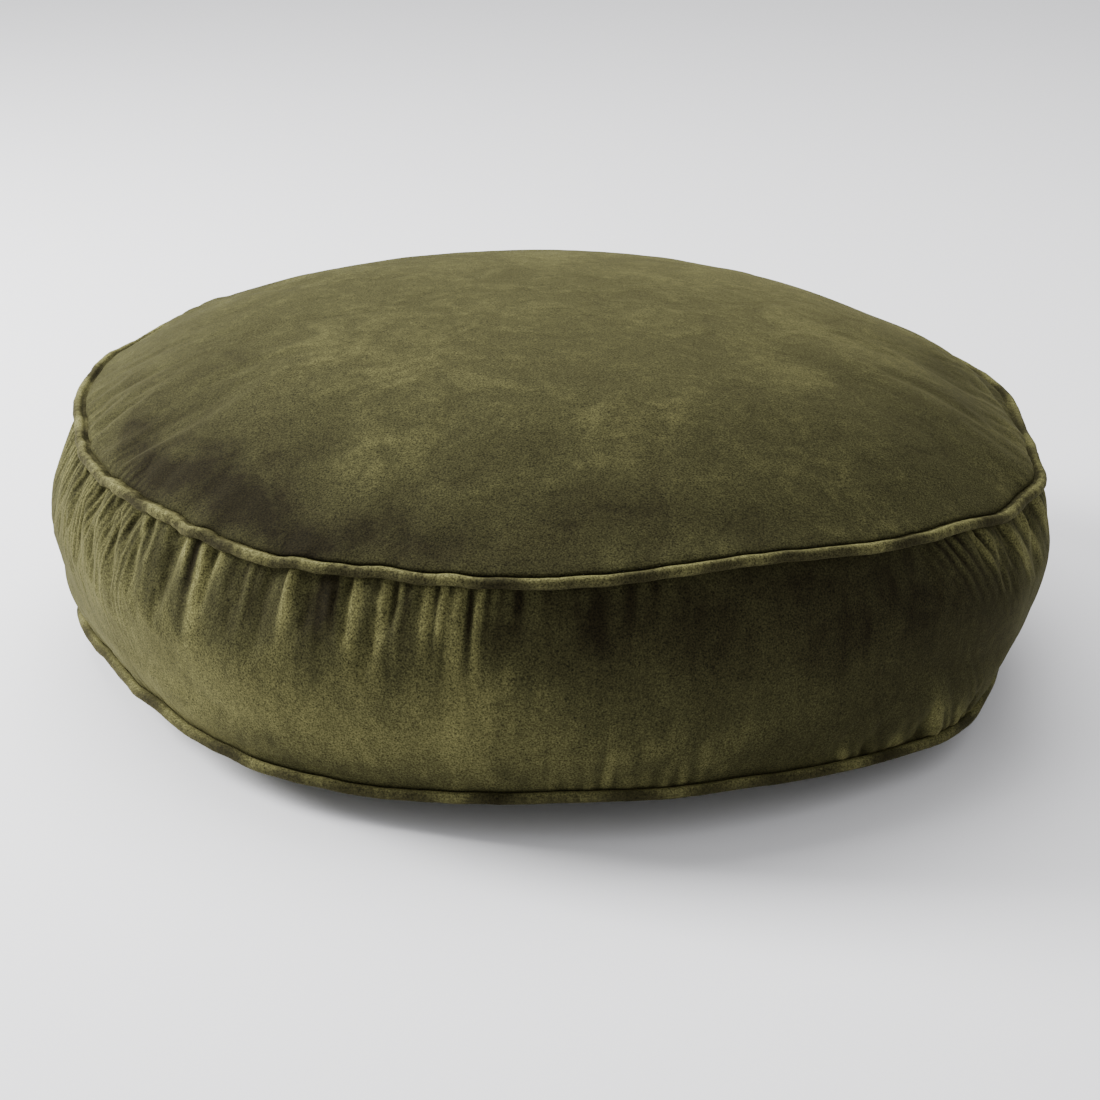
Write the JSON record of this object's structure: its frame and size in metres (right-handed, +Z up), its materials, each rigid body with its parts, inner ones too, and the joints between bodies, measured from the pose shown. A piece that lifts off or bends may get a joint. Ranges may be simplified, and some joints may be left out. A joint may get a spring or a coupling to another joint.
{
  "type": "floor cushion",
  "caption": "Round boxed velvet floor cushion with a domed top, welted top and bottom seams, a filled insert and a coil zip along the rear of its band.",
  "frame": {"origin": "middle of the flat patch of the underside that rests on the floor, which is the bottom centre of the cushion's box", "axes": "+Z up through the middle of both panels, +Y towards the middle of the zip at the rear, -Y towards the plain front of the band"},
  "size_m": [0.6336, 0.6349, 0.2256],
  "materials": {
    "velvet": "olive cotton velvet, short dense pile with mottled nap",
    "velvet_piping": "the same olive velvet, cut as a strip and drawn round the cord",
    "piping_cord": "natural cotton piping cord",
    "zip_tape": "dark olive woven polyester tape",
    "zip_coil": "satin dyed nylon monofilament",
    "zip_metal": "antiqued brass",
    "insert_cloth": "plain white woven lining",
    "fibre": "white hollow polyester fibre"
  },
  "bodies": {
    "cushion": {"top_panel": "velvet", "bottom_panel": "velvet", "boxing_front": "velvet", "boxing_zip_upper": "velvet", "boxing_zip_lower": "velvet", "top_welt_cover": "velvet_piping", "top_welt_cord": "piping_cord", "bottom_welt_cover": "velvet_piping", "bottom_welt_cord": "piping_cord", "zip_tape_upper": "zip_tape", "zip_tape_lower": "zip_tape", "zip_coil_upper": "zip_coil", "zip_coil_lower": "zip_coil", "zip_top_stop_upper": "zip_metal", "zip_top_stop_lower": "zip_metal", "zip_bottom_stop": "zip_metal", "insert_cover_top": "insert_cloth", "insert_cover_bottom": "insert_cloth", "fibre_fill": "fibre"},
    "slider": {"zip_slider": "zip_metal"},
    "pull": {"zip_pull_tab": "zip_metal"}
  },
  "joints": [
    {"name": "zip_travel", "type": "hinge", "parent": "cushion", "child": "slider", "pos_m": [0, 0, 0.09804], "axis": [0, 0, 1], "range_deg": [0, 102.5]},
    {"name": "pull_swing", "type": "hinge", "parent": "slider", "child": "pull", "pos_m": [0.25042, 0.20011, 0.09804], "axis": [0, 0, -1], "range_deg": [0, 180]}
  ]
}
